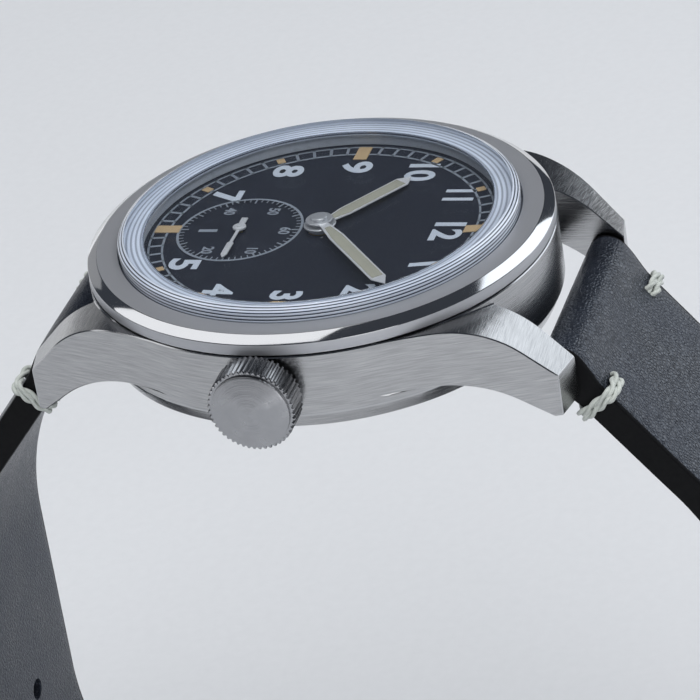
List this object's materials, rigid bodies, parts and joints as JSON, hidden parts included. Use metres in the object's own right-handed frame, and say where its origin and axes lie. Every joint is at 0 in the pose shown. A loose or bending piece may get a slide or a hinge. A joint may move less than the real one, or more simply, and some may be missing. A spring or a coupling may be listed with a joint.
{
  "type": "wrist watch",
  "caption": "Round steel field watch with small seconds dial, raised crystal, knurled crown and curled two-piece leather strap with pin buckle.",
  "frame": {"origin": "centre of the case back's flat outer face, on the hands' axis", "axes": "+Z is the dial's normal, out through the crystal; +X points to three o'clock and the crown; +Y points to twelve o'clock"},
  "size_m": [0.0395, 0.0719, 0.0742],
  "materials": {
    "case_steel": "horizontal brushing on the flanks, satin lug tops",
    "bezel_steel": "polished bevel, satin top",
    "crystal_glass": "clear, polished",
    "seal_rubber": "matte",
    "flange_steel": "polished",
    "back_steel": "circular brushing",
    "tube_steel": "turned",
    "dial_black": "fine matte black",
    "holder_steel": "turned",
    "movement_brass": "rhodium-plated matte brass",
    "screw_steel": "polished",
    "wheel_brass": "circular graining",
    "hand_steel": "polished, cream luminous fill",
    "crown_steel": "satin cone, cut grip",
    "bar_steel": "turned",
    "strap_leather": "fine-grained matte black leather",
    "waxed_thread": "cream waxed thread",
    "buckle_steel": "satin"
  },
  "bodies": {
    "case": {"mid_case": "case_steel", "bezel": "bezel_steel", "crystal": "crystal_glass", "crystal_gasket": "seal_rubber", "dial_flange": "flange_steel", "case_back": "back_steel", "back_gasket": "seal_rubber", "crown_tube": "tube_steel", "dial": "dial_black", "movement_holder": "holder_steel", "main_plate": "movement_brass", "train_bridge": "movement_brass", "bridge_screws": "screw_steel", "balance_cock": "movement_brass", "spring_bar_12": "bar_steel", "spring_bar_6": "bar_steel"},
    "barrel": {"barrel": "wheel_brass"},
    "centre_wheel": {"centre_wheel": "wheel_brass"},
    "third_wheel": {"third_wheel": "wheel_brass"},
    "seconds": {"fourth_wheel": "wheel_brass", "seconds_hand": "hand_steel"},
    "escape_wheel": {"escape_wheel": "screw_steel"},
    "pallet_fork": {"pallet_fork": "screw_steel"},
    "balance": {"balance_wheel": "wheel_brass"},
    "minutes": {"cannon_pinion": "screw_steel", "minute_hand": "hand_steel"},
    "minute_wheel": {"minute_wheel": "wheel_brass"},
    "hours": {"hour_wheel": "wheel_brass", "hour_hand": "hand_steel"},
    "sliding_pinion": {"sliding_pinion": "screw_steel"},
    "crown": {"crown": "crown_steel", "stem": "screw_steel", "crown_seal": "seal_rubber"},
    "strap_short": {"strap_12": "strap_leather", "lug_stitches_12": "waxed_thread", "fixed_keeper": "strap_leather"},
    "strap_long": {"strap_6": "strap_leather", "lug_stitches_6": "waxed_thread"},
    "free_keeper": {"free_keeper": "strap_leather"},
    "buckle": {"buckle_frame": "buckle_steel", "buckle_bar": "bar_steel"},
    "tongue": {"buckle_tongue": "buckle_steel"}
  },
  "joints": [
    {"name": "minute_turn", "type": "hinge", "parent": "case", "child": "minutes", "pos_m": [0, 0, 0.00545], "axis": [0, 0, 1], "continuous": true},
    {"name": "hour_turn", "type": "hinge", "parent": "case", "child": "hours", "pos_m": [0, 0, 0.006], "axis": [0, 0, 1], "continuous": true},
    {"name": "minute_wheel_turn", "type": "hinge", "parent": "case", "child": "minute_wheel", "pos_m": [0.0023, 0.00398, 0.00545], "axis": [0, 0, 1], "continuous": true},
    {"name": "seconds_turn", "type": "hinge", "parent": "case", "child": "seconds", "pos_m": [0, -0.00649, 0.0026], "axis": [0, 0, 1], "continuous": true},
    {"name": "third_wheel_turn", "type": "hinge", "parent": "case", "child": "third_wheel", "pos_m": [-0.00214, -0.0037, 0.0033], "axis": [0, 0, 1], "continuous": true},
    {"name": "centre_wheel_turn", "type": "hinge", "parent": "case", "child": "centre_wheel", "pos_m": [0, 0, 0.0022], "axis": [0, 0, 1], "continuous": true},
    {"name": "barrel_turn", "type": "hinge", "parent": "case", "child": "barrel", "pos_m": [-0.00299, 0.00518, 0.0026], "axis": [0, 0, 1], "continuous": true},
    {"name": "escape_wheel_turn", "type": "hinge", "parent": "case", "child": "escape_wheel", "pos_m": [0.0024, -0.00805, 0.0033], "axis": [0, 0, 1], "continuous": true},
    {"name": "pallet_rock", "type": "hinge", "parent": "case", "child": "pallet_fork", "pos_m": [0.00434, -0.0063, 0.0033], "axis": [0, 0, 1], "range_deg": [-5, 5]},
    {"name": "balance_swing", "type": "hinge", "parent": "case", "child": "balance", "pos_m": [0.007, -0.0039, 0.0025], "axis": [0, 0, 1], "range_deg": [-135, 135], "stiffness_Nm_per_rad": 0.00000011},
    {"name": "crown_turn", "type": "hinge", "parent": "case", "child": "sliding_pinion", "pos_m": [0.0089, 0, 0.00425], "axis": [1, 0, 0], "continuous": true},
    {"name": "crown_pull", "type": "slide", "parent": "sliding_pinion", "child": "crown", "axis": [1, 0, 0], "range_m": [0, 0.001]},
    {"name": "strap_short_swing", "type": "hinge", "parent": "case", "child": "strap_short", "pos_m": [0, 0.02, 0.0008], "axis": [1, 0, 0], "range_deg": [-2, 60]},
    {"name": "strap_long_swing", "type": "hinge", "parent": "case", "child": "strap_long", "pos_m": [0, -0.02, 0.0008], "axis": [-1, 0, 0], "range_deg": [-2, 60]},
    {"name": "free_keeper_slide", "type": "slide", "parent": "strap_short", "child": "free_keeper", "axis": [0, 0, 1], "range_m": [0, 0.01]},
    {"name": "buckle_swing", "type": "hinge", "parent": "strap_short", "child": "buckle", "pos_m": [0, 0.0252, -0.05693], "axis": [1, 0, 0], "range_deg": [-30, 30]},
    {"name": "tongue_swing", "type": "hinge", "parent": "buckle", "child": "tongue", "pos_m": [0, 0.0252, -0.05693], "axis": [1, 0, 0], "range_deg": [0, 90]}
  ],
  "couplings": [
    {"joint": "hour_turn", "follows": "minute_turn", "ratio": 0.083333},
    {"joint": "minute_wheel_turn", "follows": "minute_turn", "ratio": -0.33333},
    {"joint": "third_wheel_turn", "follows": "seconds_turn", "ratio": -0.13333},
    {"joint": "centre_wheel_turn", "follows": "seconds_turn", "ratio": 0.016667},
    {"joint": "barrel_turn", "follows": "seconds_turn", "ratio": -0.0025},
    {"joint": "escape_wheel_turn", "follows": "seconds_turn", "ratio": -10}
  ]
}
